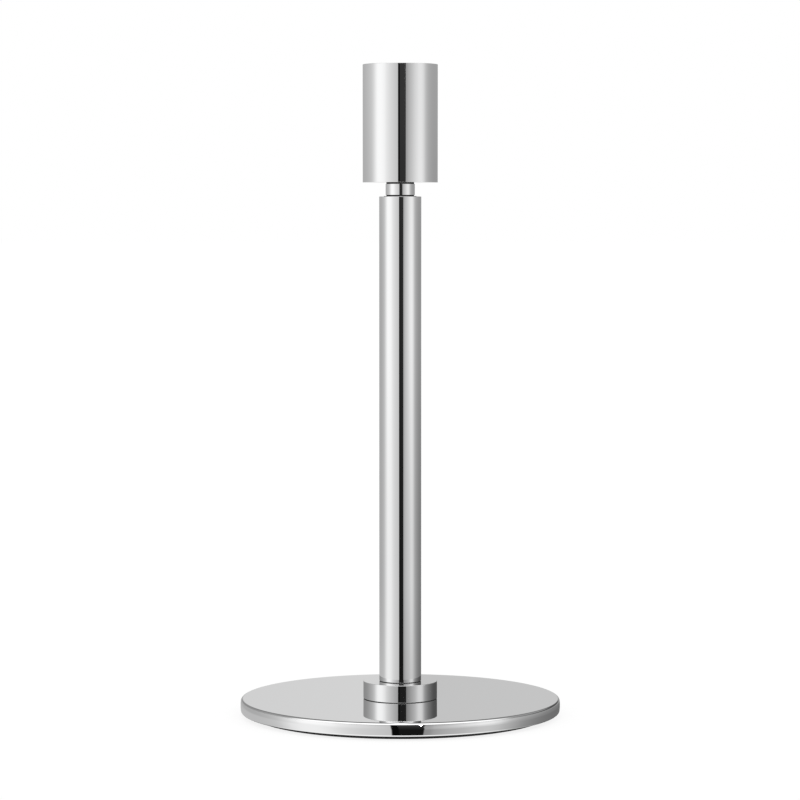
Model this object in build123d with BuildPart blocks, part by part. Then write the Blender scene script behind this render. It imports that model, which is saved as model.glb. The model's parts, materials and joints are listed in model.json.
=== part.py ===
from build123d import *

import os
from math import cos, pi, radians, sqrt, tan

# Flag pole stand: a polished round foot plate, a low collar, a slim tubular stem, a narrow neck
# and an upright cylindrical socket that takes the butt of a short pole.
# One threaded rod on the axis draws every turned piece together between a nut under the foot
# and a nut on the socket's floor.
# Millimetres. Z is the stand's axis, Z = 0 is the floor, and every piece is modelled where it sits.

# ---------------------------------------------------------------- driving dimensions

SOCKET_RADIUS = 20.0
SOCKET_LENGTH = 62.6
SOCKET_WALL = 3.0
SOCKET_FLOOR = 6.0
SOCKET_RIM_ROUND = 0.25
SOCKET_MOUTH_ROUND = 0.4
SOCKET_FOOT_ROUND = 0.15

NECK_RADIUS = 7.8
NECK_HEIGHT = 7.5
NECK_ROUND = 0.15
NECK_WASHER_THICKNESS = 0.8
NECK_WASHER_INSET = 0.4
NECK_LIP_RADIUS = 8.7
NECK_LIP_THICKNESS = 0.25

STEM_RADIUS = 11.25
STEM_LENGTH = 259.6
STEM_WALL = 1.5
STEM_TOP_ROUND = 0.2
STEM_FOOT_CHAMFER = 0.15

PLUG_FLANGE = 2.0
PLUG_BODY = 10.0
PLUG_SEAT_WIDTH = 0.6
LEAD_IN_CHAMFER = 0.9

COLLAR_RADIUS = 19.85
COLLAR_HEIGHT = 9.1
COLLAR_ROUND = 0.3
COLLAR_FOOT_ROUND = 0.15
COLLAR_SPIGOT = 10.0

# Thin black rings that part the collar from the plate, and the stem from the collar.
GASKET_THICKNESS = 0.3
GASKET_INSET = 0.2

# The plate's upper face curves up a little from the collar to the rim, and the rim bulges a little.
PLATE_RADIUS = 85.9
PLATE_THICKNESS = 7.35
PLATE_DISH = 0.25
PLATE_RIM_BULGE_RADIUS = 20.0
PLATE_TOP_ROUND = 1.3
PLATE_FOOT_ROUND = 1.2

PAD_RADIUS = 79.0
PAD_THICKNESS = 2.0

POLE_BORE_RADIUS = 12.9
SLEEVE_RIM_DROP = 0.5
SLEEVE_MOUTH_CHAMFER = 1.2
SLEEVE_OUTER_CHAMFER = 0.4
SLEEVE_WEB = 3.0
SLEEVE_FELT_THICKNESS = 2.0
SLEEVE_LEDGE = 0.5

# Standard M8 hardware.
ROD_RADIUS = 4.0
ROD_HOLE_RADIUS = 4.2
ROD_END_CHAMFER = 0.6
ROD_END_PROUD = 1.0
NUT_HEIGHT = 4.0
NUT_FLATS_RADIUS = 6.5
NUT_BORE_RADIUS = 4.02
NUT_CHAMFER_ANGLE = 30
NUT_CHAMFER_INSET = 0.15
WASHER_RADIUS = 12.0
WASHER_THICKNESS = 1.6
LOCK_WASHER_THICKNESS = 0.8
LOCK_WASHER_BAND_RADIUS = 6.1
LOCK_WASHER_RADIUS = 7.5
LOCK_WASHER_TEETH = 10

# Clearances: radial between pieces that slip together, and around the washers and nuts.
SLIP = 0.1
SEAT_SLIP = 0.05
WASHER_ROOM = 1.0
NUT_HEADROOM = 2.0

# ---------------------------------------------------------------- heights, from the floor up

PLATE_FOOT = PAD_THICKNESS
PLATE_TOP = PLATE_FOOT + PLATE_THICKNESS
PLATE_SEAT = PLATE_TOP - PLATE_DISH
COLLAR_FOOT = PLATE_SEAT + GASKET_THICKNESS
COLLAR_TOP = COLLAR_FOOT + COLLAR_HEIGHT
STEM_FOOT = COLLAR_TOP + GASKET_THICKNESS
STEM_TOP = STEM_FOOT + STEM_LENGTH
NECK_RING_FOOT = STEM_TOP + NECK_WASHER_THICKNESS
NECK_RING_HEIGHT = NECK_HEIGHT - 2 * NECK_WASHER_THICKNESS
SOCKET_FOOT = STEM_TOP + NECK_HEIGHT
NECK_UPPER_WASHER_FOOT = SOCKET_FOOT - NECK_WASHER_THICKNESS
SOCKET_FLOOR_TOP = SOCKET_FOOT + SOCKET_FLOOR
SOCKET_RIM = SOCKET_FOOT + SOCKET_LENGTH

# The recess under the foot plate holds the washers and nut clear of the floor.
RECESS_RADIUS = WASHER_RADIUS + WASHER_ROOM
RECESS_DEPTH = 5.0
RECESS_CEILING = PLATE_FOOT + RECESS_DEPTH
FOOT_WASHER_FOOT = RECESS_CEILING - WASHER_THICKNESS
FOOT_LOCK_WASHER_FOOT = FOOT_WASHER_FOOT - LOCK_WASHER_THICKNESS
FOOT_NUT_FOOT = FOOT_LOCK_WASHER_FOOT - NUT_HEIGHT

# The same stack, the other way up, on the socket's floor.
SOCKET_LOCK_WASHER_FOOT = SOCKET_FLOOR_TOP + WASHER_THICKNESS
SOCKET_NUT_FOOT = SOCKET_LOCK_WASHER_FOOT + LOCK_WASHER_THICKNESS
ROD_TOP = SOCKET_NUT_FOOT + NUT_HEIGHT + ROD_END_PROUD

# The sleeve's web stands over the nut, and the felt on it is what the pole rests on.
SLEEVE_RADIUS = SOCKET_RADIUS - SOCKET_WALL - SLIP
SLEEVE_CAVITY_RADIUS = WASHER_RADIUS + WASHER_ROOM
SLEEVE_WEB_FOOT = ROD_TOP + NUT_HEADROOM
SLEEVE_WEB_TOP = SLEEVE_WEB_FOOT + SLEEVE_WEB
SLEEVE_TOP = SOCKET_RIM - SLEEVE_RIM_DROP
FELT_POCKET_RADIUS = POLE_BORE_RADIUS - SLEEVE_LEDGE
FELT_TOP = SLEEVE_WEB_TOP + SLEEVE_FELT_THICKNESS


def flat_washer(foot, outer_radius, hole_radius, thickness):
    """A plain flat ring standing on the height foot."""
    with BuildPart() as washer:
        with BuildSketch(Plane.XY.offset(foot)):
            Circle(outer_radius)
            Circle(hole_radius, mode=Mode.SUBTRACT)
        extrude(amount=thickness)
    return washer


def toothed_lock_washer(foot):
    """An M8 lock washer with external teeth, standing on the height foot."""
    tooth_length = LOCK_WASHER_RADIUS - LOCK_WASHER_BAND_RADIUS
    tooth_width = pi * LOCK_WASHER_RADIUS / LOCK_WASHER_TEETH
    with BuildPart() as washer:
        with BuildSketch(Plane.XY.offset(foot)):
            Circle(LOCK_WASHER_BAND_RADIUS)
            with PolarLocations(LOCK_WASHER_BAND_RADIUS, LOCK_WASHER_TEETH):
                Rectangle(2 * tooth_length, tooth_width)
            Circle(ROD_HOLE_RADIUS, mode=Mode.SUBTRACT)
        extrude(amount=LOCK_WASHER_THICKNESS)
    return washer


def thin_hex_nut(foot):
    """An M8 thin nut with both faces chamfered, standing on the height foot."""
    top = foot + NUT_HEIGHT
    face_radius = NUT_FLATS_RADIUS - NUT_CHAMFER_INSET
    half_side_angle = pi / 6
    corner_radius = NUT_FLATS_RADIUS / cos(half_side_angle)
    corner_drop = (corner_radius - face_radius) * tan(radians(NUT_CHAMFER_ANGLE))
    with BuildPart() as nut:
        with BuildSketch(Plane.XY.offset(foot)):
            RegularPolygon(NUT_FLATS_RADIUS, 6, major_radius=False)
            Circle(NUT_BORE_RADIUS, mode=Mode.SUBTRACT)
        extrude(amount=NUT_HEIGHT)
        with BuildSketch(Plane.XZ):
            with BuildLine():
                Polyline(
                    (0, foot),
                    (face_radius, foot),
                    (corner_radius, foot + corner_drop),
                    (corner_radius, top - corner_drop),
                    (face_radius, top),
                    (0, top),
                    close=True,
                )
            make_face()
        revolve(axis=Axis.Z, mode=Mode.INTERSECT)
    return nut


# ---------------------------------------------------------------- the foot

# Soft black sheet glued under the plate, with an opening for the socket spanner.
with BuildPart() as floor_pad:
    with BuildSketch():
        Circle(PAD_RADIUS)
        Circle(RECESS_RADIUS, mode=Mode.SUBTRACT)
    extrude(amount=PAD_THICKNESS)

# Solid turned steel disc that gives the stand its weight.
half_thickness = PLATE_THICKNESS / 2
rim_bulge = PLATE_RIM_BULGE_RADIUS - sqrt(PLATE_RIM_BULGE_RADIUS**2 - half_thickness**2)
rim_edge_radius = PLATE_RADIUS - rim_bulge
dish_middle_radius = (rim_edge_radius + COLLAR_RADIUS) / 2
dish_middle = PLATE_SEAT + PLATE_DISH / 4
with BuildPart() as base_plate:
    with BuildSketch(Plane.XZ):
        with BuildLine():
            ThreePointArc(
                (rim_edge_radius, PLATE_FOOT),
                (PLATE_RADIUS, PLATE_FOOT + half_thickness),
                (rim_edge_radius, PLATE_TOP),
            )
            ThreePointArc(
                (rim_edge_radius, PLATE_TOP),
                (dish_middle_radius, dish_middle),
                (COLLAR_RADIUS, PLATE_SEAT),
            )
            Polyline(
                (COLLAR_RADIUS, PLATE_SEAT),
                (0, PLATE_SEAT),
                (0, PLATE_FOOT),
                (rim_edge_radius, PLATE_FOOT),
            )
        make_face()
    revolve(axis=Axis.Z)
    with Locations(Plane(origin=(0, 0, PLATE_FOOT), z_dir=(0, 0, -1))):
        CounterBoreHole(ROD_HOLE_RADIUS, RECESS_RADIUS, RECESS_DEPTH, PLATE_THICKNESS)
    arcs = base_plate.edges().filter_by(GeomType.CIRCLE)
    rings = arcs.filter_by(lambda arc: arc.radius < PLATE_RADIUS).sort_by(SortBy.RADIUS)
    foot_edge, top_edge = rings[-2:].sort_by(Axis.Z)
    fillet(top_edge, PLATE_TOP_ROUND)
    fillet(foot_edge, PLATE_FOOT_ROUND)

foot_washer = flat_washer(FOOT_WASHER_FOOT, WASHER_RADIUS, ROD_HOLE_RADIUS, WASHER_THICKNESS)
foot_lock_washer = toothed_lock_washer(FOOT_LOCK_WASHER_FOOT)
foot_nut = thin_hex_nut(FOOT_NUT_FOOT)

# ---------------------------------------------------------------- the collar and stem

collar_gasket = flat_washer(
    PLATE_SEAT, COLLAR_RADIUS - GASKET_INSET, ROD_HOLE_RADIUS, GASKET_THICKNESS
)

# Low turned disc with a spigot that centres the stem tube.
with BuildPart() as collar:
    with BuildSketch(Plane.XY.offset(COLLAR_FOOT)):
        Circle(COLLAR_RADIUS)
    extrude(amount=COLLAR_HEIGHT)
    fillet(collar.faces().sort_by(Axis.Z)[-1].edges(), COLLAR_ROUND)
    fillet(collar.faces().sort_by(Axis.Z)[0].edges(), COLLAR_FOOT_ROUND)
    with BuildSketch(Plane.XY.offset(COLLAR_TOP)):
        Circle(STEM_RADIUS - STEM_WALL - SLIP)
    extrude(amount=COLLAR_SPIGOT)
    chamfer(collar.faces().sort_by(Axis.Z)[-1].edges(), LEAD_IN_CHAMFER)
    with BuildSketch(Plane.XY.offset(COLLAR_FOOT)):
        Circle(ROD_HOLE_RADIUS)
    extrude(amount=COLLAR_HEIGHT + COLLAR_SPIGOT, mode=Mode.SUBTRACT)

stem_gasket = flat_washer(
    COLLAR_TOP, STEM_RADIUS - GASKET_INSET, STEM_RADIUS - STEM_WALL, GASKET_THICKNESS
)

# Drawn tube, counterbored at the top so that the plug sits flush inside its end.
with BuildPart() as stem_tube:
    with BuildSketch(Plane.XY.offset(STEM_FOOT)):
        Circle(STEM_RADIUS)
    extrude(amount=STEM_LENGTH)
    fillet(stem_tube.faces().sort_by(Axis.Z)[-1].edges(), STEM_TOP_ROUND)
    chamfer(stem_tube.faces().sort_by(Axis.Z)[0].edges(), STEM_FOOT_CHAMFER)
    with Locations(Plane.XY.offset(STEM_TOP)):
        CounterBoreHole(
            STEM_RADIUS - STEM_WALL,
            STEM_RADIUS - STEM_WALL + PLUG_SEAT_WIDTH,
            PLUG_FLANGE,
            STEM_LENGTH,
        )

# Turned plug whose flange hands the rod's pull to the tube.
with BuildPart() as stem_plug:
    with BuildSketch(Plane.XY.offset(STEM_TOP - PLUG_FLANGE - PLUG_BODY)):
        Circle(STEM_RADIUS - STEM_WALL - SEAT_SLIP)
    extrude(amount=PLUG_BODY)
    chamfer(stem_plug.faces().sort_by(Axis.Z)[0].edges(), LEAD_IN_CHAMFER)
    with BuildSketch(Plane.XY.offset(STEM_TOP - PLUG_FLANGE)):
        Circle(STEM_RADIUS - STEM_WALL + PLUG_SEAT_WIDTH - SEAT_SLIP)
    extrude(amount=PLUG_FLANGE)
    with Locations(Plane.XY.offset(STEM_TOP)):
        Hole(ROD_HOLE_RADIUS, PLUG_FLANGE + PLUG_BODY)

# ---------------------------------------------------------------- the neck

# Thin black washers under and over the ring keep the polished faces apart. The lower one stands
# on the stem with a thin lip that is wider than the ring.
neck_washer_radius = NECK_RADIUS - NECK_WASHER_INSET
with BuildPart() as neck_lower_washer:
    with BuildSketch(Plane.XY.offset(STEM_TOP)):
        Circle(NECK_LIP_RADIUS)
    extrude(amount=NECK_LIP_THICKNESS)
    with BuildSketch(Plane.XY.offset(STEM_TOP)):
        Circle(neck_washer_radius)
    extrude(amount=NECK_WASHER_THICKNESS)
    with Locations(Plane.XY.offset(NECK_RING_FOOT)):
        Hole(ROD_HOLE_RADIUS, NECK_WASHER_THICKNESS)

neck_upper_washer = flat_washer(
    NECK_UPPER_WASHER_FOOT, neck_washer_radius, ROD_HOLE_RADIUS, NECK_WASHER_THICKNESS
)

with BuildPart() as neck_ring:
    with BuildSketch(Plane.XY.offset(NECK_RING_FOOT)):
        Circle(NECK_RADIUS)
    extrude(amount=NECK_RING_HEIGHT)
    fillet(neck_ring.edges().filter_by(GeomType.CIRCLE), NECK_ROUND)
    with Locations(Plane.XY.offset(NECK_RING_FOOT + NECK_RING_HEIGHT)):
        Hole(ROD_HOLE_RADIUS, NECK_RING_HEIGHT)

# ---------------------------------------------------------------- the socket

with BuildPart() as socket_cup:
    with BuildSketch(Plane.XY.offset(SOCKET_FOOT)):
        Circle(SOCKET_RADIUS)
    extrude(amount=SOCKET_LENGTH)
    fillet(socket_cup.faces().sort_by(Axis.Z)[0].edges(), SOCKET_FOOT_ROUND)
    fillet(socket_cup.faces().sort_by(Axis.Z)[-1].edges(), SOCKET_RIM_ROUND)
    with Locations(Plane.XY.offset(SOCKET_RIM)):
        CounterBoreHole(
            ROD_HOLE_RADIUS,
            SOCKET_RADIUS - SOCKET_WALL,
            SOCKET_LENGTH - SOCKET_FLOOR,
            SOCKET_LENGTH,
        )
    mouth = socket_cup.faces().filter_by(Plane.XY).sort_by(Axis.Z)[-1].inner_wires()
    fillet(mouth.edges(), SOCKET_MOUTH_ROUND)

socket_washer = flat_washer(SOCKET_FLOOR_TOP, WASHER_RADIUS, ROD_HOLE_RADIUS, WASHER_THICKNESS)
socket_lock_washer = toothed_lock_washer(SOCKET_LOCK_WASHER_FOOT)
socket_nut = thin_hex_nut(SOCKET_NUT_FOOT)

# Threaded rod, drawn at its major diameter.
with BuildPart() as tie_rod:
    with BuildSketch(Plane.XY.offset(FOOT_NUT_FOOT)):
        Circle(ROD_RADIUS)
    extrude(amount=ROD_TOP - FOOT_NUT_FOOT)
    chamfer(tie_rod.edges().filter_by(GeomType.CIRCLE), ROD_END_CHAMFER)

# ---------------------------------------------------------------- the sleeve, which lifts out

# Moulded sleeve that centres the pole. It is hollow below its web to clear the nut.
with BuildPart() as pole_sleeve:
    with BuildSketch(Plane.XY.offset(SOCKET_FLOOR_TOP)):
        Circle(SLEEVE_RADIUS)
    extrude(amount=SLEEVE_TOP - SOCKET_FLOOR_TOP)
    chamfer(pole_sleeve.edges().filter_by(GeomType.CIRCLE), SLEEVE_OUTER_CHAMFER)
    with BuildSketch(Plane.XY.offset(SOCKET_FLOOR_TOP)):
        Circle(SLEEVE_CAVITY_RADIUS)
    extrude(amount=SLEEVE_WEB_FOOT - SOCKET_FLOOR_TOP, mode=Mode.SUBTRACT)
    with BuildSketch(Plane.XY.offset(SLEEVE_WEB_TOP)):
        Circle(FELT_POCKET_RADIUS)
    extrude(amount=SLEEVE_FELT_THICKNESS, mode=Mode.SUBTRACT)
    with BuildSketch(Plane.XY.offset(FELT_TOP)):
        Circle(POLE_BORE_RADIUS)
    extrude(amount=SLEEVE_TOP - FELT_TOP, mode=Mode.SUBTRACT)
    sleeve_mouth = pole_sleeve.faces().filter_by(Plane.XY).sort_by(Axis.Z)[-1].inner_wires()
    chamfer(sleeve_mouth.edges(), SLEEVE_MOUTH_CHAMFER)

with BuildPart() as sleeve_felt:
    with BuildSketch(Plane.XY.offset(SLEEVE_WEB_TOP)):
        Circle(FELT_POCKET_RADIUS - SLIP)
    extrude(amount=SLEEVE_FELT_THICKNESS)

# ---------------------------------------------------------------- one STEP file per piece

pieces = {
    "floor_pad": floor_pad,
    "base_plate": base_plate,
    "foot_washer": foot_washer,
    "foot_lock_washer": foot_lock_washer,
    "foot_nut": foot_nut,
    "collar_gasket": collar_gasket,
    "collar": collar,
    "stem_gasket": stem_gasket,
    "stem_tube": stem_tube,
    "stem_plug": stem_plug,
    "neck_lower_washer": neck_lower_washer,
    "neck_ring": neck_ring,
    "neck_upper_washer": neck_upper_washer,
    "socket_cup": socket_cup,
    "socket_washer": socket_washer,
    "socket_lock_washer": socket_lock_washer,
    "socket_nut": socket_nut,
    "tie_rod": tie_rod,
    "pole_sleeve": pole_sleeve,
    "sleeve_felt": sleeve_felt,
}
os.makedirs("parts", exist_ok=True)
for name, piece in pieces.items():
    piece.part.label = name
    export_step(piece.part, f"parts/{name}.step")
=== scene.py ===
"""Looks for the flag pole stand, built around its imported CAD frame.

Nearly every piece is turned, so nearly every piece here is a lathe: a short outline of corners,
each with its own rounding, spun about the Z axis. Lengths are in metres and angles in radians,
unless a name says otherwise.
"""

import json
import math

import bpy
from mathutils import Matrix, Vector, noise


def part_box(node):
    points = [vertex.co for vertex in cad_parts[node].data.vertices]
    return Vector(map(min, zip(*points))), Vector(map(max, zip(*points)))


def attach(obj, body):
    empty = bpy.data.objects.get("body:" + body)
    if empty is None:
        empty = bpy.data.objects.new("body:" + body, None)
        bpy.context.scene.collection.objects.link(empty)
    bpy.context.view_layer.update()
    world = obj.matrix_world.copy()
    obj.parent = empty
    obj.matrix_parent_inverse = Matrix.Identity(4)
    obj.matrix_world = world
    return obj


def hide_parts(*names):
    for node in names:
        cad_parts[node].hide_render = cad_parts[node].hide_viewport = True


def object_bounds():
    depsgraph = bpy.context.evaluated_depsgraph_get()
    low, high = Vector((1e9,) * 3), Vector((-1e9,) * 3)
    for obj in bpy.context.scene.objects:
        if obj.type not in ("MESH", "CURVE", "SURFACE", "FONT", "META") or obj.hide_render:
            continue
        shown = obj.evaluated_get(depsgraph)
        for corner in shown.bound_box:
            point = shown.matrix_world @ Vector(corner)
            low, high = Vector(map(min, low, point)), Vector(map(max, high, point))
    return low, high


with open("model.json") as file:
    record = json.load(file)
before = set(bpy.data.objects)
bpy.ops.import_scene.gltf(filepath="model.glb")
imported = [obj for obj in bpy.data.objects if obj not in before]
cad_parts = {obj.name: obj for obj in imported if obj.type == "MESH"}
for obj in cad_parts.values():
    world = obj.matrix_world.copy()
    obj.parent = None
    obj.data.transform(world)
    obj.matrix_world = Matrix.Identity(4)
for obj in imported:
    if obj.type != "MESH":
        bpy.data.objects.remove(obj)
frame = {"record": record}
cad_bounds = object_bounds()

MM = 0.001

# ---------------------------------------------------------------- finish of the meshes

ARC_STEPS = 8
FEWEST_ARC_STEPS = 3
FINE_SEGMENTS = 512
MEDIUM_SEGMENTS = 256
LOCK_WASHER_SEGMENTS = 360
HARDWARE_SEGMENTS = 192
ROD_SEGMENTS = 64
MILLED_SHARP_DEGREES = 25
ROD_SHARP_DEGREES = 40
EDGE_BREAK = 0.15 * MM
SEAM_EDGE = 0.06 * MM
SAME_POINT = 0.001 * MM
ON_AXIS = 1e-9

# Roundings and inner sizes that a bounding box can't tell.
PLATE_TOP_ROUND = 1.3 * MM
PLATE_FOOT_ROUND = 1.2 * MM
PLATE_RIM_BULGE_RADIUS = 20.0 * MM
PLATE_DISH = 0.25 * MM
COLLAR_TOP_ROUND = 0.2 * MM
STEM_TOP_ROUND = 0.2 * MM
STEM_WALL = 1.5 * MM
NECK_LIP_THICKNESS = 0.25 * MM
SOCKET_RIM_ROUND = 0.12 * MM
SOCKET_MOUTH_ROUND = 0.4 * MM
SOCKET_FLOOR = 6.0 * MM
ROD_HOLE_RADIUS = 4.2 * MM
SLIP = 0.1 * MM
WASHER_ROOM = 1.0 * MM
RECESS_DEPTH = 5.0 * MM
PLUG_FLANGE = 2.0 * MM
PLUG_SEAT_WIDTH = 0.6 * MM
PLUG_SEAT_EDGE = EDGE_BREAK / 4
LEAD_IN = 0.9 * MM
SLEEVE_WALL = 4.0 * MM
SLEEVE_WEB = 3.0 * MM
SLEEVE_LEDGE = 0.5 * MM
SLEEVE_MOUTH_CHAMFER = 1.2 * MM

# The felt's rounded edge, and how deep and how closely its upper face is uneven.
FELT_EDGE = 0.35 * MM
FELT_HOLLOW = 0.12 * MM
FELT_HOLLOW_SCALE = 600
FELT_RINGS = 24
FELT_UNDERSIDE_RINGS = 4

# M8 thread and thin nut. The thread's crest and flank are shares of half its pitch.
THREAD_PITCH = 1.25 * MM
THREAD_DEPTH = 0.7 * MM
THREAD_LENGTH = 22.0 * MM
THREAD_ROWS_PER_PITCH = 8
THREAD_CREST = 0.125
THREAD_FLANK = 0.625
ROD_END_CHAMFER = 0.6 * MM
NUT_CORNER_BREAK = 0.12 * MM
NUT_FACE_INSET = 0.15 * MM
NUT_CHAMFER = math.radians(30)
NUT_SLIP = SLIP / 5

# Toothed lock washer. A gap's half width and a flank are shares of the pitch.
LOCK_WASHER_BAND = 6.1 * MM
LOCK_WASHER_TEETH = 10
LOCK_WASHER_HALF_GAP = 0.25
LOCK_WASHER_FLANK = 0.06


def turned_size(node):
    """(radius, foot height, top height) of a round CAD node, from its box."""
    low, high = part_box(node)
    return high.x, low.z, high.z


# ---------------------------------------------------------------- mesh tools


def rounded(corners, closed):
    """Points and outward normals of an outline whose corners (radius, height, rounding) become arcs.

    The outline runs anticlockwise, with the radius to the right and the height upwards. An open
    outline starts and ends on the axis, and closes over it.
    """
    points = []
    normals = []
    last = len(corners) - 1
    for index, (radius, height, rounding) in enumerate(corners):
        here = Vector((radius, height))
        if not closed and index in (0, last):
            points.append(here)
            normals.append(Vector((0, -1 if index == 0 else 1)))
            continue
        before = Vector(corners[index - 1][:2])
        after = Vector(corners[(index + 1) % len(corners)][:2])
        into = (here - before).normalized()
        out = (after - here).normalized()
        turn = math.atan2(into.x * out.y - into.y * out.x, into.dot(out))
        side = math.copysign(1, turn)
        first_normal = Vector((into.y, -into.x))
        start = here - into * rounding * math.tan(abs(turn) / 2)
        centre = start - first_normal * side * rounding
        steps = max(FEWEST_ARC_STEPS, math.ceil(ARC_STEPS * abs(turn) / (math.pi / 2)))
        for step in range(steps + 1):
            angle = math.atan2(first_normal.y, first_normal.x) + turn * step / steps
            normal = Vector((math.cos(angle), math.sin(angle)))
            point = centre + normal * side * rounding
            if points and (point - points[-1]).length < SAME_POINT:
                continue
            points.append(point)
            normals.append(normal)
    return points, normals


def ring_faces(rings, closed):
    """Quads, and triangles at a pole, that join each ring of vertex numbers to the next."""
    pairs = list(zip(rings, rings[1:]))
    if closed:
        pairs.append((rings[-1], rings[0]))
    faces = []
    for lower, upper in pairs:
        count = max(len(lower), len(upper))
        for j in range(count):
            k = (j + 1) % count
            if len(lower) == 1:
                faces.append((lower[0], upper[k], upper[j]))
            elif len(upper) == 1:
                faces.append((lower[j], lower[k], upper[0]))
            else:
                faces.append((lower[j], lower[k], upper[k], upper[j]))
    return faces


def mesh_object(name, vertices, faces):
    """A new smooth-shaded mesh object in the scene."""
    mesh = bpy.data.meshes.new(name)
    mesh.from_pydata(vertices, [], faces)
    mesh.shade_smooth()
    mesh.update()
    piece = bpy.data.objects.new(name, mesh)
    bpy.context.scene.collection.objects.link(piece)
    return piece


def lathe(name, corners, closed=False, segments=MEDIUM_SEGMENTS):
    """A turned piece with exact normals, so that a mirror finish has no facets or smears."""
    points, normals = rounded(corners, closed)
    vertices = []
    vertex_normals = []
    rings = []
    for point, normal in zip(points, normals):
        count = 1 if point.x < ON_AXIS else segments
        rings.append(range(len(vertices), len(vertices) + count))
        for j in range(count):
            angle = 2 * math.pi * j / segments
            c = math.cos(angle)
            s = math.sin(angle)
            vertices.append((point.x * c, point.x * s, point.y))
            vertex_normals.append((normal.x * c, normal.x * s, normal.y))
    piece = mesh_object(name, vertices, ring_faces(rings, closed))
    piece.data.normals_split_custom_set_from_vertices(vertex_normals)
    return piece


def milled(name, outline_at, segments=HARDWARE_SEGMENTS):
    """A ring round the axis whose closed outline, from outline_at(angle), changes as it goes round."""
    columns = []
    for j in range(segments):
        columns.append(outline_at(2 * math.pi * j / segments))
    vertices = []
    rings = []
    for row in range(len(columns[0])):
        rings.append(range(len(vertices), len(vertices) + segments))
        for j in range(segments):
            angle = 2 * math.pi * j / segments
            radius, height = columns[j][row]
            vertices.append((radius * math.cos(angle), radius * math.sin(angle), height))
    piece = mesh_object(name, vertices, ring_faces(rings, closed=True))
    piece.data.set_sharp_from_angle(angle=math.radians(MILLED_SHARP_DEGREES))
    return piece


def ring_corners(inner, outer, foot, top, rounding):
    """Corners of a plain ring with the same rounding on all four edges."""
    return [
        (inner, foot, rounding),
        (outer, foot, rounding),
        (outer, top, rounding),
        (inner, top, rounding),
    ]


# ---------------------------------------------------------------- node tools


class Shader:
    """A node tree, with short calls for adding nodes and joining them."""

    def __init__(self, tree):
        tree.nodes.clear()
        self.tree = tree

    def add(self, kind, inputs=None, **settings):
        """A new node of this kind, with its settings made and its inputs filled or joined."""
        node = self.tree.nodes.new("ShaderNode" + kind)
        for key, value in settings.items():
            setattr(node, key, value)
        for key, value in (inputs or {}).items():
            self.join(value, node.inputs[key])
        return node

    def join(self, value, socket):
        """Joins another node's output to the socket, or sets the socket to a plain value."""
        if isinstance(value, bpy.types.NodeSocket):
            self.tree.links.new(value, socket)
        else:
            socket.default_value = value

    def math(self, operation, *values):
        """One arithmetic operation on these values."""
        node = self.add("Math", operation=operation)
        for index, value in enumerate(values):
            self.join(value, node.inputs[index])
        return node.outputs[0]

    def between(self, value, low, high, from_value=0.0, to_value=1.0):
        """from_value below low, to_value above high, and a smooth change in between."""
        inputs = {
            "Value": value,
            "From Min": low,
            "From Max": high,
            "To Min": from_value,
            "To Max": to_value,
        }
        node = self.add("MapRange", inputs, interpolation_type="SMOOTHSTEP")
        return node.outputs["Result"]

    def blend(self, share, first, second):
        """first where share is 0, second where it is 1, for single values."""
        node = self.add("Mix", data_type="FLOAT")
        for socket, value in zip(node.inputs[:4], (share, None, first, second)):
            if value is not None:
                self.join(value, socket)
        return node.outputs[0]

    def noise(self, scale, detail=3.0, vector=None):
        """Cloudy noise between 0 and 1, at place() unless a vector is given."""
        inputs = {"Scale": scale, "Detail": detail}
        inputs["Vector"] = vector or self.place()
        return self.add("TexNoise", inputs).outputs["Fac"]

    def place(self):
        """The point's place in the row frame, in metres."""
        return self.add("TexCoord").outputs["Object"]

    def stretched(self, x, y, z):
        """place() stretched by a factor along each axis, for marks that run one way."""
        inputs = {"Vector": self.place(), "Scale": (x, y, z)}
        return self.add("Mapping", inputs).outputs["Vector"]

    def bump(self, height, distance, strength=1.0):
        """A surface normal tilted by a height pattern that is distance metres deep."""
        inputs = {"Height": height, "Distance": distance, "Strength": strength}
        return self.add("Bump", inputs).outputs["Normal"]


def new_material(name):
    """A new material and the Shader that fills its node tree."""
    material = bpy.data.materials.new(name)
    material.use_nodes = True
    return material, Shader(material.node_tree)


def finish_material(shader, **inputs):
    """Ends a material in one Principled surface with these inputs."""
    surface = shader.add("BsdfPrincipled", {k.replace("_", " "): v for k, v in inputs.items()})
    shader.add("OutputMaterial", {"Surface": surface.outputs["BSDF"]})


# ---------------------------------------------------------------- materials


def polished_chrome():
    """Mirror plating: nearly loss-free, with faint turning rings and slightly uneven polish."""
    material, shader = new_material("polished_chrome")
    rings = shader.noise(9000, 2.0, shader.stretched(0.02, 0.02, 1.0))
    haze = shader.noise(60, 4.0)
    roughness = shader.blend(haze, 0.012, 0.02)
    normal = shader.bump(rings, 0.00000005)
    finish_material(
        shader,
        Base_Color=(0.955, 0.957, 0.96, 1),
        Metallic=1.0,
        Roughness=roughness,
        Normal=normal,
    )
    return material


def zinc_steel():
    """Bright zinc plating over rolled steel: brushed round the axis, with a slightly blue cast."""
    material, shader = new_material("zinc_steel")
    patches = shader.noise(350, 4.0)
    marks = shader.noise(14000, 3.0)
    color = shader.add(
        "Mix",
        {0: patches, 6: (0.56, 0.58, 0.62, 1), 7: (0.70, 0.70, 0.68, 1)},
        data_type="RGBA",
    )
    tangent = shader.add("Tangent", direction_type="RADIAL", axis="Z")
    finish_material(
        shader,
        Base_Color=color.outputs[2],
        Metallic=1.0,
        Roughness=shader.blend(patches, 0.24, 0.4),
        Anisotropic=0.5,
        Tangent=tangent.outputs[0],
        Normal=shader.bump(marks, 0.000004),
    )
    return material


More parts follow.
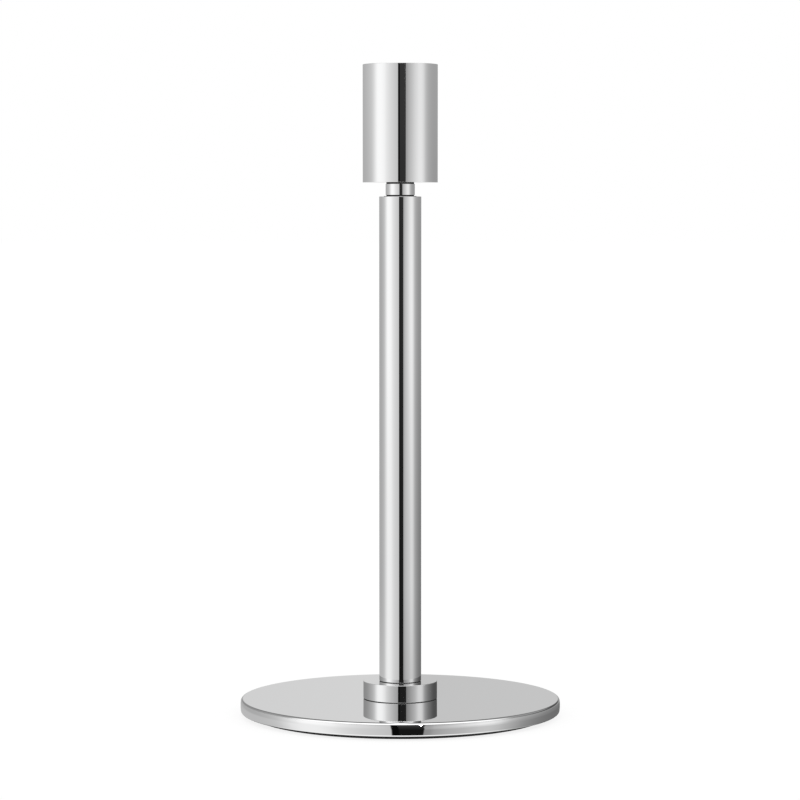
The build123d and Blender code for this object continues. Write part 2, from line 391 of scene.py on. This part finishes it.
def turned_steel():
    """Bare steel as it leaves the lathe, with the tool's feed marks."""
    material, shader = new_material("turned_steel")
    feed = shader.noise(12000, 1.0, shader.stretched(0.01, 0.01, 1.0))
    patches = shader.noise(200, 4.0)
    finish_material(
        shader,
        Base_Color=(0.46, 0.455, 0.45, 1),
        Metallic=1.0,
        Roughness=shader.blend(patches, 0.3, 0.45),
        Normal=shader.bump(feed, 0.00001),
    )
    return material


def black_rubber():
    """Matt black rubber with a fine pitted skin and a trace of dust."""
    material, shader = new_material("black_rubber")
    pits = shader.noise(9000, 3.0)
    dust = shader.noise(300, 5.0)
    finish_material(
        shader,
        Base_Color=(0.012, 0.012, 0.012, 1),
        Roughness=shader.blend(dust, 0.55, 0.8),
        Normal=shader.bump(pits, 0.00002),
    )
    return material


def cell(shader, scale):
    """Rounded cells, such as the open skin of cut foam or sparked moulding."""
    texture = shader.add("TexVoronoi", {"Vector": shader.place(), "Scale": scale})
    return texture.outputs["Distance"]


def pad_foam():
    """Dense black sheet foam, cut from a block, so that its skin shows fine open cells."""
    material, shader = new_material("pad_foam")
    cells = cell(shader, 2200)
    shade = shader.noise(120, 5.0)
    color = shader.add(
        "Mix",
        {0: shade, 6: (0.012, 0.012, 0.012, 1), 7: (0.03, 0.03, 0.031, 1)},
        data_type="RGBA",
    )
    finish_material(
        shader,
        Base_Color=color.outputs[2],
        Roughness=0.85,
        Normal=shader.bump(cells, 0.0002, 0.7),
    )
    return material


def sleeve_nylon():
    """Black nylon from a spark-eroded mould: a fine even grain with a dull sheen."""
    material, shader = new_material("sleeve_nylon")
    grain = cell(shader, 3500)
    flow = shader.noise(90, 3.0)
    finish_material(
        shader,
        Base_Color=(0.022, 0.022, 0.023, 1),
        Roughness=shader.blend(flow, 0.42, 0.55),
        Normal=shader.bump(grain, 0.00005, 0.6),
    )
    return material


def black_felt():
    """Pressed wool felt: fibres lying every way, with a soft sheen at a low angle."""
    material, shader = new_material("black_felt")
    fibres = shader.noise(3000, 8.0, shader.stretched(1.0, 0.35, 1.0))
    cross = shader.noise(3400, 8.0, shader.stretched(0.3, 1.0, 1.0))
    tangle = shader.math("MAXIMUM", fibres, cross)
    color = shader.add(
        "Mix",
        {0: tangle, 6: (0.008, 0.008, 0.009, 1), 7: (0.05, 0.05, 0.052, 1)},
        data_type="RGBA",
    )
    finish_material(
        shader,
        Base_Color=color.outputs[2],
        Roughness=0.95,
        Sheen_Weight=0.4,
        Normal=shader.bump(tangle, 0.0004),
    )
    return material


MAKERS = (
    polished_chrome,
    zinc_steel,
    turned_steel,
    black_rubber,
    pad_foam,
    sleeve_nylon,
    black_felt,
)
materials = {maker.__name__: maker() for maker in MAKERS}
node_slots = {row["node"]: row["material_slot"] for row in frame["record"]["subparts"]}
node_bodies = {
    node: body
    for body, nodes in frame["record"]["behaviour"]["bodies"].items()
    for node in nodes
}


def stand_for(piece, node):
    """The piece takes the CAD node's place: its body, its material slot and its finish."""
    piece.data.materials.append(materials[node_slots[node]])
    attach(piece, node_bodies[node])
    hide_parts(node)


# ---------------------------------------------------------------- the foot


def build_foot():
    """The plate, slightly dished above and bulging at its rim, and the pad it stands on."""
    radius, foot, _ = turned_size("base_plate")
    collar_radius = turned_size("collar")[0]
    seat = turned_size("collar_gasket")[1]
    top = seat + PLATE_DISH
    recess = turned_size("foot_washer")[0] + WASHER_ROOM
    ceiling = foot + RECESS_DEPTH
    half = (top - foot) / 2
    bulge = PLATE_RIM_BULGE_RADIUS
    lean = math.asin((half - PLATE_TOP_ROUND) / (bulge - PLATE_TOP_ROUND))
    middle = radius - bulge + bulge / math.cos(lean)
    edge = middle - half * math.tan(lean)
    dish_half = (edge - collar_radius) / 2
    dish_turn = math.atan(PLATE_DISH / dish_half)
    dish_arc = (dish_half - 2 * PLATE_TOP_ROUND) / math.tan(dish_turn / 2)
    corners = [
        (recess, foot, EDGE_BREAK),
        (edge, foot, PLATE_FOOT_ROUND),
        (middle, foot + half, bulge),
        (edge, top, PLATE_TOP_ROUND),
        (collar_radius + dish_half, seat, dish_arc),
        (ROD_HOLE_RADIUS, seat, EDGE_BREAK),
        (ROD_HOLE_RADIUS, ceiling, EDGE_BREAK),
        (recess, ceiling, EDGE_BREAK),
    ]
    stand_for(lathe("foot_plate", corners, closed=True, segments=FINE_SEGMENTS), "base_plate")

    radius, foot, top = turned_size("floor_pad")
    corners = ring_corners(recess, radius, foot, top, 2 * EDGE_BREAK)
    stand_for(lathe("foot_pad", corners, closed=True, segments=FINE_SEGMENTS), "floor_pad")


# ---------------------------------------------------------------- collar, stem and neck


def build_ring(name, node, rounding=EDGE_BREAK, hole=ROD_HOLE_RADIUS):
    """A plain ring with its edges rounded."""
    radius, foot, top = turned_size(node)
    corners = ring_corners(hole, radius, foot, top, rounding)
    stand_for(lathe(name, corners, closed=True), node)


def build_collar():
    """The low disc on the plate, with the spigot that centres the stem."""
    radius, foot, spigot_top = turned_size("collar")
    top = turned_size("stem_gasket")[1]
    spigot = turned_size("stem_tube")[0] - STEM_WALL - SLIP
    corners = [
        (ROD_HOLE_RADIUS, foot, EDGE_BREAK),
        (radius, foot, SEAM_EDGE),
        (radius, top, COLLAR_TOP_ROUND),
        (spigot, top, EDGE_BREAK),
        (spigot, spigot_top - LEAD_IN, EDGE_BREAK),
        (spigot - LEAD_IN, spigot_top, EDGE_BREAK),
        (ROD_HOLE_RADIUS, spigot_top, EDGE_BREAK),
    ]
    stand_for(lathe("stem_collar", corners, closed=True), "collar")


def build_stem():
    """The long tube, and the flanged plug let into its top."""
    radius, foot, top = turned_size("stem_tube")
    bore = radius - STEM_WALL
    seat = bore + PLUG_SEAT_WIDTH
    corners = [
        (bore, foot, EDGE_BREAK),
        (radius, foot, SEAM_EDGE),
        (radius, top, STEM_TOP_ROUND),
        (seat, top, PLUG_SEAT_EDGE),
        (seat, top - PLUG_FLANGE, EDGE_BREAK),
        (bore, top - PLUG_FLANGE, EDGE_BREAK),
    ]
    stand_for(lathe("stem", corners, closed=True), "stem_tube")

    flange, plug_foot, plug_top = turned_size("stem_plug")
    body = bore - SLIP / 2
    corners = [
        (ROD_HOLE_RADIUS, plug_foot, EDGE_BREAK),
        (body - LEAD_IN, plug_foot, EDGE_BREAK),
        (body, plug_foot + LEAD_IN, EDGE_BREAK),
        (body, plug_top - PLUG_FLANGE, EDGE_BREAK),
        (flange, plug_top - PLUG_FLANGE, EDGE_BREAK),
        (flange, plug_top, EDGE_BREAK),
        (ROD_HOLE_RADIUS, plug_top, EDGE_BREAK),
    ]
    stand_for(lathe("stem_top_plug", corners, closed=True), "stem_plug")


def build_neck_lower_washer():
    """The black washer on top of the stem, with its thin wider lip."""
    lip, foot, top = turned_size("neck_lower_washer")
    lip_top = foot + NECK_LIP_THICKNESS
    radius = turned_size("neck_upper_washer")[0]
    corners = [
        (ROD_HOLE_RADIUS, foot, SEAM_EDGE),
        (lip, foot, SEAM_EDGE),
        (lip, lip_top, SEAM_EDGE),
        (radius, lip_top, SEAM_EDGE),
        (radius, top, SEAM_EDGE),
        (ROD_HOLE_RADIUS, top, SEAM_EDGE),
    ]
    stand_for(lathe("neck_seal_lower", corners, closed=True), "neck_lower_washer")


# ---------------------------------------------------------------- socket


def build_socket():
    """The cup at the top, open upwards."""
    radius, foot, top = turned_size("socket_cup")
    bore = turned_size("pole_sleeve")[0] + SLIP
    floor = foot + SOCKET_FLOOR
    corners = [
        (ROD_HOLE_RADIUS, foot, EDGE_BREAK),
        (radius, foot, SEAM_EDGE),
        (radius, top, SOCKET_RIM_ROUND),
        (bore, top, SOCKET_MOUTH_ROUND),
        (bore, floor, EDGE_BREAK),
        (ROD_HOLE_RADIUS, floor, EDGE_BREAK),
    ]
    stand_for(lathe("socket", corners, closed=True), "socket_cup")


# ---------------------------------------------------------------- sleeve and felt


def build_sleeve():
    """The moulded sleeve inside the socket, and the felt at the bottom of its bore."""
    radius, foot, top = turned_size("pole_sleeve")
    felt_radius, web_top, felt_top = turned_size("sleeve_felt")
    bore = radius - SLEEVE_WALL
    pocket = bore - SLEEVE_LEDGE
    cavity = turned_size("socket_washer")[0] + WASHER_ROOM
    web_foot = web_top - SLEEVE_WEB
    corners = [
        (0, web_foot, 0),
        (cavity, web_foot, 2 * EDGE_BREAK),
        (cavity, foot, EDGE_BREAK),
        (radius, foot, 2 * EDGE_BREAK),
        (radius, top, 2 * EDGE_BREAK),
        (bore + SLEEVE_MOUTH_CHAMFER, top, EDGE_BREAK),
        (bore, top - SLEEVE_MOUTH_CHAMFER, 2 * EDGE_BREAK),
        (bore, felt_top, EDGE_BREAK),
        (pocket, felt_top, EDGE_BREAK),
        (pocket, web_top, EDGE_BREAK),
        (0, web_top, 0),
    ]
    stand_for(lathe("sleeve", corners), "pole_sleeve")
    stand_for(felt_disc("felt_disc", felt_radius, web_top, felt_top), "sleeve_felt")


def felt_disc(name, radius, foot, top):
    """A soft disc whose upper face is gently uneven, with a rounded edge."""
    flat = radius - FELT_EDGE
    profile = [(0, foot)]
    for step in range(1, FELT_UNDERSIDE_RINGS):
        profile.append((radius * step / FELT_UNDERSIDE_RINGS, foot))
    profile += [(flat, foot), (radius, foot + FELT_EDGE), (radius, top - FELT_EDGE)]
    for step in range(FELT_RINGS, -1, -1):
        profile.append((flat * (step / FELT_RINGS), top))
    vertices = []
    rings = []
    for ring_radius, height in profile:
        count = 1 if ring_radius == 0 else HARDWARE_SEGMENTS
        rings.append(range(len(vertices), len(vertices) + count))
        for j in range(count):
            angle = 2 * math.pi * j / HARDWARE_SEGMENTS
            x = ring_radius * math.cos(angle)
            y = ring_radius * math.sin(angle)
            sink = 0
            if height == top:
                unevenness = noise.noise(Vector((x, y, 0)) * FELT_HOLLOW_SCALE)
                sink = FELT_HOLLOW * (0.5 + 0.5 * unevenness)
            vertices.append((x, y, height - sink))
    return mesh_object(name, vertices, ring_faces(rings, closed=False))


# ---------------------------------------------------------------- hardware


def hexagon_radius(angle, flats):
    """Distance from the axis to a hexagon's side, with a corner at angle 0."""
    side = math.pi / 3
    return flats / math.cos(angle % side - side / 2)


def build_nut(name, node):
    """A thin hexagon nut with a chamfer on both faces and slightly broken corners."""
    low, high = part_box(node)
    foot = low.z
    top = high.z
    flats = high.y
    corner = hexagon_radius(0, flats) - NUT_CORNER_BREAK
    face = flats - NUT_FACE_INSET
    bore = turned_size("tie_rod")[0] + NUT_SLIP

    def outline_at(angle):
        reach = min(hexagon_radius(angle, flats), corner)
        drop = (reach - face) * math.tan(NUT_CHAMFER)
        return [
            (bore, foot + EDGE_BREAK),
            (bore + EDGE_BREAK, foot),
            (face, foot),
            (reach, foot + drop),
            (reach, top - drop),
            (face, top),
            (bore + EDGE_BREAK, top),
            (bore, top - EDGE_BREAK),
        ]

    stand_for(milled(name, outline_at), node)


def build_lock_washer(name, node):
    """A flat ring with square teeth round its outside, every edge broken."""
    radius, foot, top = turned_size(node)
    pitch = 2 * math.pi / LOCK_WASHER_TEETH
    edge = EDGE_BREAK / 2

    def outline_at(angle):
        along = abs(angle % pitch - pitch / 2) / pitch
        share = min(max((along - LOCK_WASHER_HALF_GAP) / LOCK_WASHER_FLANK + 0.5, 0), 1)
        reach = LOCK_WASHER_BAND + (radius - LOCK_WASHER_BAND) * share
        return [
            (ROD_HOLE_RADIUS, foot + edge),
            (ROD_HOLE_RADIUS + edge, foot),
            (reach - edge, foot),
            (reach, foot + edge),
            (reach, top - edge),
            (reach - edge, top),
            (ROD_HOLE_RADIUS + edge, top),
            (ROD_HOLE_RADIUS, top - edge),
        ]

    stand_for(milled(name, outline_at, LOCK_WASHER_SEGMENTS), node)


def thread_share(turns):
    """How deep the thread is cut, 0 at its crest and 1 at its root, at a place along the pitch."""
    along = abs(turns % 1 - 0.5) * 2
    return min(max((along - THREAD_CREST) / THREAD_FLANK, 0), 1)


def build_rod():
    """The tie rod: a plain shank with an M8 thread cut at both ends."""
    radius, foot, top = turned_size("tie_rod")
    step = THREAD_PITCH / THREAD_ROWS_PER_PITCH
    rows = round(THREAD_LENGTH / step)
    heights = [foot + step * i for i in range(rows + 1)]
    heights += [top - step * i for i in range(rows, -1, -1)]

    def reach_at(height, angle):
        from_end = min(height - foot, top - height)
        runout = min(max((THREAD_LENGTH - from_end) / THREAD_PITCH, 0), 1)
        turns = height / THREAD_PITCH - angle / (2 * math.pi)
        cut = THREAD_DEPTH * thread_share(turns) * runout
        return min(radius - cut, radius - ROD_END_CHAMFER + from_end)

    vertices = [(0, 0, foot)]
    rings = [range(1)]
    for height in heights:
        rings.append(range(len(vertices), len(vertices) + ROD_SEGMENTS))
        for j in range(ROD_SEGMENTS):
            angle = 2 * math.pi * j / ROD_SEGMENTS
            reach = reach_at(height, angle)
            vertices.append((reach * math.cos(angle), reach * math.sin(angle), height))
    rings.append(range(len(vertices), len(vertices) + 1))
    vertices.append((0, 0, top))
    piece = mesh_object("threaded_rod", vertices, ring_faces(rings, closed=False))
    piece.data.set_sharp_from_angle(angle=math.radians(ROD_SHARP_DEGREES))
    stand_for(piece, "tie_rod")


build_foot()
build_collar()
build_stem()
build_socket()
build_sleeve()
build_rod()
build_neck_lower_washer()
build_ring("collar_seal", "collar_gasket", SEAM_EDGE)
build_ring("stem_seal", "stem_gasket", SEAM_EDGE, turned_size("stem_tube")[0] - STEM_WALL)
build_ring("neck", "neck_ring", SEAM_EDGE)
build_ring("neck_seal_upper", "neck_upper_washer", SEAM_EDGE)
build_ring("foot_flat_washer", "foot_washer")
build_ring("socket_flat_washer", "socket_washer")
build_lock_washer("foot_toothed_washer", "foot_lock_washer")
build_lock_washer("socket_toothed_washer", "socket_lock_washer")
build_nut("foot_hex_nut", "foot_nut")
build_nut("socket_hex_nut", "socket_nut")

# ---------------------------------------------------------------- floor

FLOOR_HALF = 30.0


def build_floor():
    """A wide pale floor, lit from within like a light table, that the stand rests on."""
    material, shader = new_material("pale_floor")
    shade = shader.noise(3, 3.0)
    finish_material(
        shader,
        Base_Color=(0.15, 0.15, 0.15, 1),
        Roughness=shader.blend(shade, 0.7, 0.9),
        Specular_IOR_Level=0.0,
        Emission_Color=(1, 1, 1, 1),
        Emission_Strength=0.85,
    )
    half = FLOOR_HALF
    corners = [(-half, -half, 0), (half, -half, 0), (half, half, 0), (-half, half, 0)]
    floor = mesh_object("floor", corners, [(0, 1, 2, 3)])
    floor.data.materials.append(material)
    floor.visible_glossy = False


def build_floor_shade():
    """Painted shadow: a black disc standing in for the shaded floor under the plate, there only for
    the polished rim's underside to reflect.
    """
    material, shader = new_material("floor_shade")
    shade = shader.noise(40, 3.0)
    finish_material(
        shader,
        # Black for the painted shadow under the plate.
        Base_Color=(0.01, 0.01, 0.01, 1),
        Roughness=shader.blend(shade, 0.9, 1.0),
        Specular_IOR_Level=0.0,
    )
    radius = turned_size("base_plate")[0] - PLATE_FOOT_ROUND
    inner = turned_size("floor_pad")[0]
    corners = ring_corners(inner, radius, SAME_POINT, 2 * SAME_POINT, 0)
    disc = lathe("floor_shade", corners, closed=True)
    disc.data.materials.append(material)
    disc.visible_camera = False
    disc.visible_diffuse = False
    disc.visible_shadow = False


build_floor()
build_floor_shade()

# ---------------------------------------------------------------- studio

# Brightness of the studio's walls at five heights, by degrees round from the camera. Negative is to
# the camera's left, and 180 is straight behind the stand. The values were worked out from
# brightness readings of the stand's photograph, and suit the camera's own angle best.
WALL_HEIGHTS = (-9.0, -6.5, -1.5, 2.8, 8.0)
WALLS = (
    (-180, 0.53, 0.42, 0.90, 0.60, 0.67),
    (-176, 0.53, 0.42, 0.80, 0.46, 0.63),
    (-165, 0.50, 0.42, 0.41, 0.44, 0.27),
    (-137, 0.50, 0.41, 0.41, 0.47, 0.28),
    (-106, 0.54, 0.48, 0.49, 0.56, 0.40),
    (-91, 0.68, 0.64, 0.66, 0.69, 0.54),
    (-80, 0.83, 0.78, 0.86, 0.88, 0.79),
    (-67, 0.88, 0.885, 0.99, 1.00, 0.95),
    (-54, 0.83, 0.86, 0.95, 0.96, 0.87),
    (-42, 0.73, 0.76, 0.82, 0.83, 0.68),
    (-30, 0.65, 0.67, 0.72, 0.72, 0.55),
    (-8, 0.55, 0.56, 0.57, 0.55, 0.36),
    (17, 0.27, 0.36, 0.36, 0.34, 0.21),
    (24, 0.35, 0.44, 0.48, 0.42, 0.26),
    (36, 0.44, 0.53, 0.61, 0.55, 0.37),
    (46, 0.48, 0.58, 0.72, 0.67, 0.47),
    (54, 0.53, 0.63, 0.82, 0.74, 0.59),
    (64, 0.57, 0.70, 0.87, 0.80, 0.69),
    (72, 0.54, 0.66, 0.80, 0.76, 0.62),
    (80, 0.46, 0.53, 0.64, 0.64, 0.40),
    (90, 0.37, 0.39, 0.46, 0.48, 0.25),
    (106, 0.25, 0.29, 0.35, 0.39, 0.15),
    (137, 0.17, 0.21, 0.29, 0.36, 0.08),
    (165, 0.16, 0.20, 0.32, 0.36, 0.08),
    (176, 0.16, 0.20, 0.70, 0.42, 0.57),
    (180, 0.16, 0.20, 0.90, 0.60, 0.55),
)

# The dark gap where the camera stands: its sides in degrees, and how dark it is, at the same five
# heights. A narrow darker post stands just inside its left side.
GAP_LEFT = (-6.1, -6.3, -6.6, -6.8, -7.0)
GAP_RIGHT = (16.8, 17.1, 16.6, 17.2, 18.4)
GAP_BRIGHTNESS = (0.008, 0.011, 0.020, 0.036, 0.013)
GAP_EDGE = 0.6
POST_BRIGHTNESS = 0.003
POST_WIDTH = 5.3

# Over the walls a bright front ceiling and a rear one that is dark in the middle, paler to the sides.
CEILING_DEGREES = (17, 27)
FRONT_CEILING = 1.25
REAR_CEILING = 0.09
SIDE_CEILING = 0.30
SIDE_REACH = (0.15, 0.55)
CEILING_EDGE = 0.10

# Under the walls the ground, bright in front and dimmer behind, by degrees round from the camera.
GROUND_DEGREES = (-36, -26)
GROUND = (
    (-180, 0.35),
    (-125, 0.45),
    (-104, 0.93),
    (92, 0.93),
    (106, 0.40),
    (180, 0.35),
)

# One small bare lamp beside the camera, which puts a glint on the plate's rim. From some other
# angles it also shows as a jagged glint on the socket.
LAMP_DEGREES = (14.4, 4.7)
LAMP_RADIUS_DEGREES = 0.8
LAMP_BRIGHTNESS = 400.0

# The even light that falls on surfaces that aren't polished.
SOFT_LIGHT = 1.08


def curve_through(shader, share, stops):
    """A smooth curve of brightness through the stops, round the whole horizon."""
    node = shader.add("FloatCurve", {"Value": share})
    curve = node.mapping.curves[0]
    for point, (degrees, level) in zip(curve.points, (stops[0], stops[-1])):
        point.location = (degrees / 360 + 0.5, level)
    for degrees, level in stops[1:-1]:
        curve.points.new(degrees / 360 + 0.5, level)
    for point in curve.points:
        point.handle_type = "AUTO_CLAMPED"
    node.mapping.update()
    return node.outputs["Value"]


def by_height(shader, z, values):
    """Blends five values by the height of the direction looked in, z being the sine of its angle."""
    result = values[0]
    for index, value in enumerate(values[1:]):
        low, high = (math.sin(math.radians(h)) for h in WALL_HEIGHTS[index : index + 2])
        result = shader.blend(shader.between(z, low, high), result, value)
    return result


def height_share(shader, z, degrees):
    """0 below the first of two heights in degrees, 1 above the second."""
    low, high = (math.sin(math.radians(h)) for h in degrees)
    return shader.between(z, low, high)


def gap_share(shader, degrees, z):
    """1 inside the dark gap round the camera, 0 outside, with how far in from its left side."""
    from_left = shader.math("SUBTRACT", degrees, by_height(shader, z, GAP_LEFT))
    from_right = shader.math("SUBTRACT", degrees, by_height(shader, z, GAP_RIGHT))
    past_left = shader.between(from_left, -GAP_EDGE, GAP_EDGE)
    before_right = shader.between(from_right, -GAP_EDGE, GAP_EDGE, 1.0, 0.0)
    return shader.math("MULTIPLY", past_left, before_right), from_left


def lamp_share(shader, direction):
    """1 inside the small lamp's disc, 0 outside."""
    azimuth, elevation = (math.radians(angle) for angle in LAMP_DEGREES)
    centre = (
        math.sin(azimuth) * math.cos(elevation),
        -math.cos(azimuth) * math.cos(elevation),
        math.sin(elevation),
    )
    node = shader.add("VectorMath", {0: direction, 1: centre}, operation="DOT_PRODUCT")
    rim = math.cos(math.radians(LAMP_RADIUS_DEGREES))
    return shader.math("GREATER_THAN", node.outputs["Value"], rim)


def build_studio():
    """A soft studio for the polished surfaces, white behind the stand, even light for the rest."""
    world = bpy.data.worlds.new("studio")
    world.use_nodes = True
    bpy.context.scene.world = world
    shader = Shader(world.node_tree)
    direction = shader.add("TexCoord").outputs["Generated"]
    parts = shader.add("SeparateXYZ", {"Vector": direction}).outputs
    x, y, z = parts["X"], parts["Y"], parts["Z"]
    radians = shader.math("ARCTAN2", x, shader.math("MULTIPLY", y, -1.0))
    degrees = shader.math("MULTIPLY", radians, math.degrees(1))
    share = shader.math("MULTIPLY_ADD", degrees, 1 / 360, 0.5)

    curves = []
    for column in range(len(WALL_HEIGHTS)):
        stops = [(row[0], row[1 + column]) for row in WALLS]
        curves.append(curve_through(shader, share, stops))
    walls = by_height(shader, z, curves)

    gap, from_left = gap_share(shader, degrees, z)
    post = shader.between(from_left, POST_WIDTH - GAP_EDGE, POST_WIDTH + GAP_EDGE)
    darkness = shader.blend(post, POST_BRIGHTNESS, by_height(shader, z, GAP_BRIGHTNESS))
    walls = shader.blend(gap, walls, darkness)

    aside = shader.math("ABSOLUTE", x)
    rear = shader.between(aside, *SIDE_REACH, REAR_CEILING, SIDE_CEILING)
    ceiling = shader.between(y, -CEILING_EDGE, CEILING_EDGE, FRONT_CEILING, rear)
    seen = shader.blend(height_share(shader, z, CEILING_DEGREES), walls, ceiling)
    ground = curve_through(shader, share, GROUND)
    seen = shader.blend(height_share(shader, z, GROUND_DEGREES), ground, seen)
    seen = shader.blend(lamp_share(shader, direction), seen, LAMP_BRIGHTNESS)

    path = shader.add("LightPath").outputs
    soft = shader.blend(path["Is Diffuse Ray"], seen, SOFT_LIGHT)
    shown = shader.blend(path["Is Camera Ray"], soft, 1.0)
    background = shader.add("Background", {"Color": shown, "Strength": 1.0})
    shader.add("OutputWorld", {"Surface": background.outputs[0]})


build_studio()

# ---------------------------------------------------------------- camera

# A long lens about three quarters of the way up, looking slightly down. Distance and height are
# shares of the stand's height.
CAMERA_DISTANCE = 4.748
CAMERA_HEIGHT = 0.769
CAMERA_TILT_DEGREES = 3.40
CAMERA_SHIFT = -0.0003
SENSOR_WIDTH_MM = 36
LENS_MM = 139.3
CLIP_END = 100


def build_camera():
    """The camera in front of the stand, on its -Y side."""
    height = cad_bounds[1][2] - cad_bounds[0][2]
    data = bpy.data.cameras.new("camera")
    data.sensor_width = SENSOR_WIDTH_MM
    data.lens = LENS_MM
    data.shift_x = CAMERA_SHIFT
    data.clip_end = CLIP_END
    camera = bpy.data.objects.new("camera", data)
    camera.location = (0, -CAMERA_DISTANCE * height, CAMERA_HEIGHT * height)
    camera.rotation_euler = (math.radians(90 - CAMERA_TILT_DEGREES), 0, 0)
    bpy.context.scene.collection.objects.link(camera)
    bpy.context.scene.camera = camera


build_camera()
bpy.context.scene.view_settings.view_transform = "Standard"
